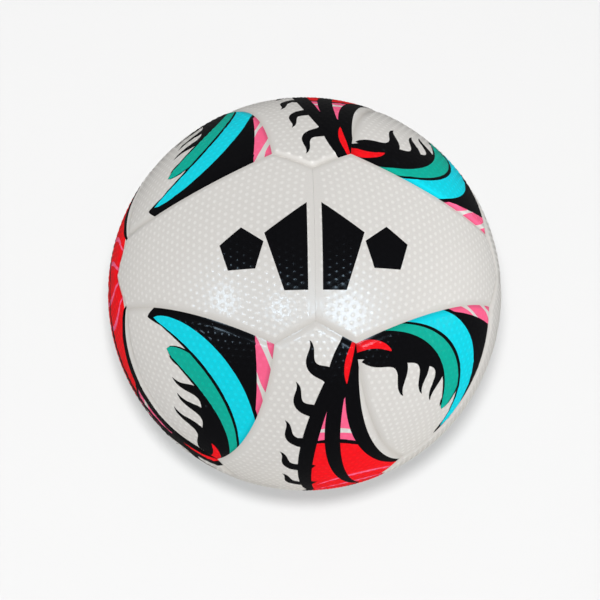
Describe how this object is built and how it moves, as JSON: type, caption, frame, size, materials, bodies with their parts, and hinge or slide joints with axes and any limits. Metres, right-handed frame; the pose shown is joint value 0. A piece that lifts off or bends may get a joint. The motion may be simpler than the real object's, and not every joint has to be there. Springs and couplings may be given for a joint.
{
  "type": "soccer ball",
  "caption": "Inflated ball with bonded shaped panels in paired and corner groups over foam, a wound carcass and an air bladder with a needle valve.",
  "frame": {"origin": "centre of the ball", "axes": "+Z out through the middle of the seam between the two top panels, which runs along Y; +X out through the middle of the right pair's seam, which runs along Z; +Y out through the middle of the back pair's seam, which runs along X; -Z is the spot the ball rests on"},
  "size_m": [0.2196, 0.2196, 0.2196],
  "materials": {
    "panel_skin": "pearl white polyurethane with fine raised dots and a printed wave pattern",
    "panel_foam": "closed-cell foam",
    "carcass_cloth": "wound thread set in latex",
    "bladder_rubber": "smooth butyl",
    "patch_cloth": "woven cloth",
    "valve_rubber": "moulded rubber"
  },
  "bodies": {
    "root": {"skin_top_left": "panel_skin", "skin_top_right": "panel_skin", "skin_bottom_left": "panel_skin", "skin_bottom_right": "panel_skin", "skin_front_upper": "panel_skin", "skin_front_lower": "panel_skin", "skin_back_upper": "panel_skin", "skin_back_lower": "panel_skin", "skin_left_front": "panel_skin", "skin_left_back": "panel_skin", "skin_right_front": "panel_skin", "skin_right_back": "panel_skin", "skin_corner_top_front_left": "panel_skin", "skin_corner_top_front_right": "panel_skin", "skin_corner_top_back_left": "panel_skin", "skin_corner_top_back_right": "panel_skin", "skin_corner_bottom_front_left": "panel_skin", "skin_corner_bottom_front_right": "panel_skin", "skin_corner_bottom_back_left": "panel_skin", "skin_corner_bottom_back_right": "panel_skin", "foam_top_left": "panel_foam", "foam_top_right": "panel_foam", "foam_bottom_left": "panel_foam", "foam_bottom_right": "panel_foam", "foam_front_upper": "panel_foam", "foam_front_lower": "panel_foam", "foam_back_upper": "panel_foam", "foam_back_lower": "panel_foam", "foam_left_front": "panel_foam", "foam_left_back": "panel_foam", "foam_right_front": "panel_foam", "foam_right_back": "panel_foam", "foam_corner_top_front_left": "panel_foam", "foam_corner_top_front_right": "panel_foam", "foam_corner_top_back_left": "panel_foam", "foam_corner_top_back_right": "panel_foam", "foam_corner_bottom_front_left": "panel_foam", "foam_corner_bottom_front_right": "panel_foam", "foam_corner_bottom_back_left": "panel_foam", "foam_corner_bottom_back_right": "panel_foam", "carcass": "carcass_cloth", "bladder": "bladder_rubber", "valve_patch": "patch_cloth", "valve_housing": "valve_rubber", "valve_core": "valve_rubber"}
  },
  "joints": []
}
